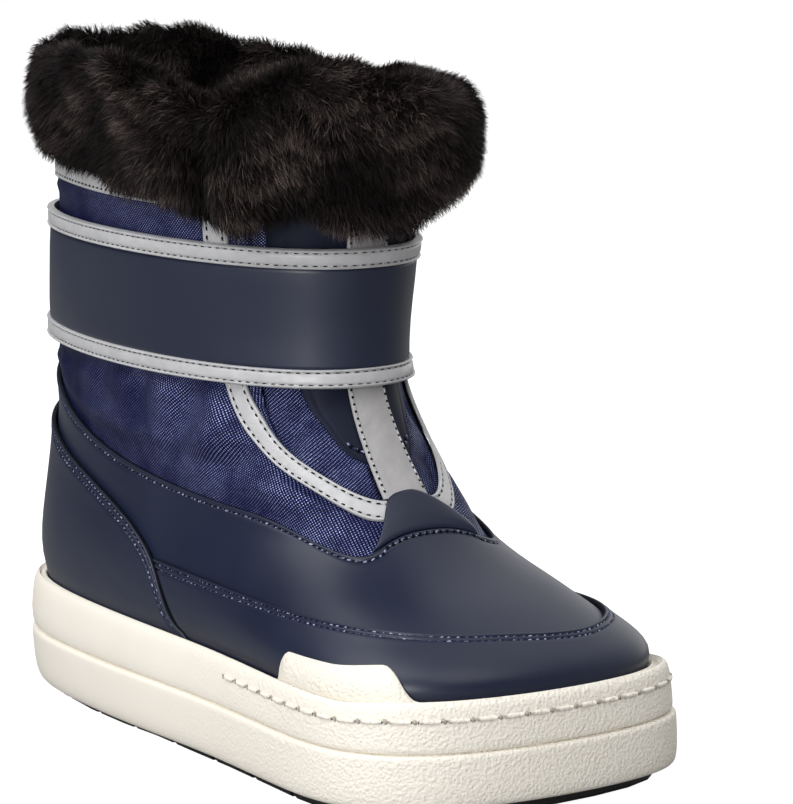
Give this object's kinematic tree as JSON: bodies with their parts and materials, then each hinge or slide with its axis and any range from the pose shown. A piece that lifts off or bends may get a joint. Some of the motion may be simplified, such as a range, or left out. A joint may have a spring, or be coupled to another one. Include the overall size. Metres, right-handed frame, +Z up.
{
  "type": "apres-ski boot",
  "caption": "Right snow boot with a deep fur cuff, a wide taped strap round the shaft, an open throat over its tongue, coated lower panels and a thick stepped cup sole.",
  "frame": {"origin": "on the floor under the middle of the heel, on the heel's tread", "axes": "+X to the toe, +Y to the wearer's left, which is the inner side of this right boot, +Z up"},
  "size_m": [0.2849, 0.121, 0.2273],
  "materials": {
    "black_rubber": "matt",
    "cream_rubber": "pebbled, matt",
    "felt": "brushed",
    "woven_nylon": "woven, slight sheen",
    "coated_navy": "coated, satin",
    "grey_tape": "reflective tape, satin",
    "black_fur": "deep pile"
  },
  "bodies": {
    "root": {"outsole": "black_rubber", "cupsole": "cream_rubber", "insole": "felt", "upper": "woven_nylon", "vamp": "coated_navy", "toe_rand": "coated_navy", "heel_counter": "coated_navy", "throat_tab": "coated_navy", "throat_tape": "grey_tape", "tongue": "woven_nylon", "tongue_panel": "coated_navy", "tongue_strip": "grey_tape", "strap": "coated_navy", "strap_tape_bottom": "grey_tape", "strap_tape_top": "grey_tape", "collar_tape": "grey_tape", "fur_collar": "black_fur"}
  },
  "joints": []
}
